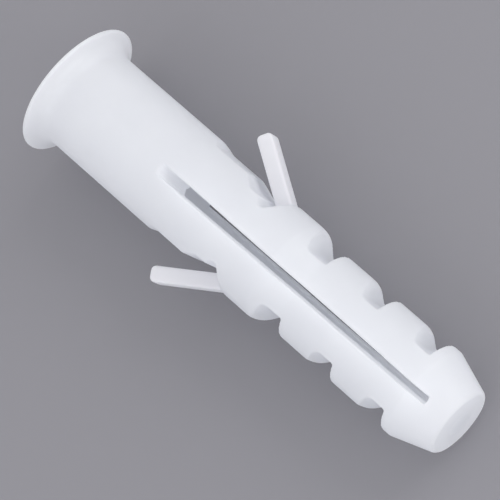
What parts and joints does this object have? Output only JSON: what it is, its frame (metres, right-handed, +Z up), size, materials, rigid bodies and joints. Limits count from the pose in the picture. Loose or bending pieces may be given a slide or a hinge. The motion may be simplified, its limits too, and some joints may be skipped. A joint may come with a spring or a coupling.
{
  "type": "wall anchor",
  "caption": "Collared expansion wall plug: flared collar, tubular barrel, lengthwise slot, two spreading toothed legs, folding anti-rotation wings and a blunt tapered nose.",
  "frame": {"origin": "on the plug's axis, in the plane of the collar's outer face, which is the face of the wall in use", "axes": "+X along the axis from the collar to the tip, +Z up in the plane of the slot, the two legs and the two wings on +Y and -Y"},
  "size_m": [0.0474, 0.0166, 0.0132],
  "materials": {
    "head_nylon": "natural unfilled nylon, milky and slightly translucent, smooth moulded satin",
    "leg_nylon": "natural unfilled nylon, milky, smooth moulded satin",
    "wing_nylon": "natural unfilled nylon, thin and more translucent, smooth moulded satin"
  },
  "bodies": {
    "head": {"collar_flange": "head_nylon", "barrel_sleeve": "head_nylon"},
    "leg_a_rear": {"neck_a": "leg_nylon", "first_tooth_a": "leg_nylon"},
    "leg_a_middle": {"second_tooth_a": "leg_nylon"},
    "leg_a_front": {"third_tooth_a": "leg_nylon"},
    "nose_a": {"nose_half_a": "leg_nylon"},
    "wing_a": {"wing_a": "wing_nylon"},
    "leg_b_rear": {"neck_b": "leg_nylon", "first_tooth_b": "leg_nylon"},
    "leg_b_middle": {"second_tooth_b": "leg_nylon"},
    "leg_b_front": {"third_tooth_b": "leg_nylon"},
    "nose_b": {"nose_half_b": "leg_nylon"},
    "wing_b": {"wing_b": "wing_nylon"}
  },
  "joints": [
    {"name": "expansion", "type": "hinge", "parent": "head", "child": "leg_a_rear", "pos_m": [0.01345, 0.00278, 0], "axis": [0, 0, 1], "range_deg": [0, 4.1], "stiffness_Nm_per_rad": 0.005},
    {"name": "leg_a_groove_one", "type": "hinge", "parent": "leg_a_rear", "child": "leg_a_middle", "pos_m": [0.03005, 0.00172, 0], "axis": [0, 0, 1], "range_deg": [-4.11, 0.01]},
    {"name": "leg_a_groove_two", "type": "hinge", "parent": "leg_a_middle", "child": "leg_a_front", "pos_m": [0.03625, 0.00172, 0], "axis": [0, 0, 1], "range_deg": [-11.08, 0.02]},
    {"name": "leg_a_groove_three", "type": "hinge", "parent": "leg_a_front", "child": "nose_a", "pos_m": [0.04245, 0.00172, 0], "axis": [0, 0, 1], "range_deg": [-0.02, 11.08]},
    {"name": "leg_b_root", "type": "hinge", "parent": "head", "child": "leg_b_rear", "pos_m": [0.01345, -0.00278, 0], "axis": [0, 0, -1], "range_deg": [-0.01, 4.11]},
    {"name": "leg_b_groove_one", "type": "hinge", "parent": "leg_b_rear", "child": "leg_b_middle", "pos_m": [0.03005, -0.00172, 0], "axis": [0, 0, -1], "range_deg": [-4.11, 0.01]},
    {"name": "leg_b_groove_two", "type": "hinge", "parent": "leg_b_middle", "child": "leg_b_front", "pos_m": [0.03625, -0.00172, 0], "axis": [0, 0, -1], "range_deg": [-11.08, 0.02]},
    {"name": "leg_b_groove_three", "type": "hinge", "parent": "leg_b_front", "child": "nose_b", "pos_m": [0.04245, -0.00172, 0], "axis": [0, 0, -1], "range_deg": [-0.02, 11.08]},
    {"name": "wing_a_fold", "type": "hinge", "parent": "leg_a_rear", "child": "wing_a", "pos_m": [0.0232, 0.00411, 0], "axis": [0, 0, 1], "range_deg": [-5, 15], "stiffness_Nm_per_rad": 0.00005},
    {"name": "wing_b_fold", "type": "hinge", "parent": "leg_b_rear", "child": "wing_b", "pos_m": [0.0232, -0.00411, 0], "axis": [0, 0, -1], "range_deg": [-5, 15], "stiffness_Nm_per_rad": 0.00005}
  ],
  "couplings": [
    {"joint": "leg_a_groove_one", "follows": "expansion", "ratio": -1},
    {"joint": "leg_a_groove_two", "follows": "expansion", "ratio": -2.698},
    {"joint": "leg_a_groove_three", "follows": "expansion", "ratio": 2.698},
    {"joint": "leg_b_root", "follows": "expansion", "ratio": 1},
    {"joint": "leg_b_groove_one", "follows": "expansion", "ratio": -1},
    {"joint": "leg_b_groove_two", "follows": "expansion", "ratio": -2.698},
    {"joint": "leg_b_groove_three", "follows": "expansion", "ratio": 2.698}
  ]
}
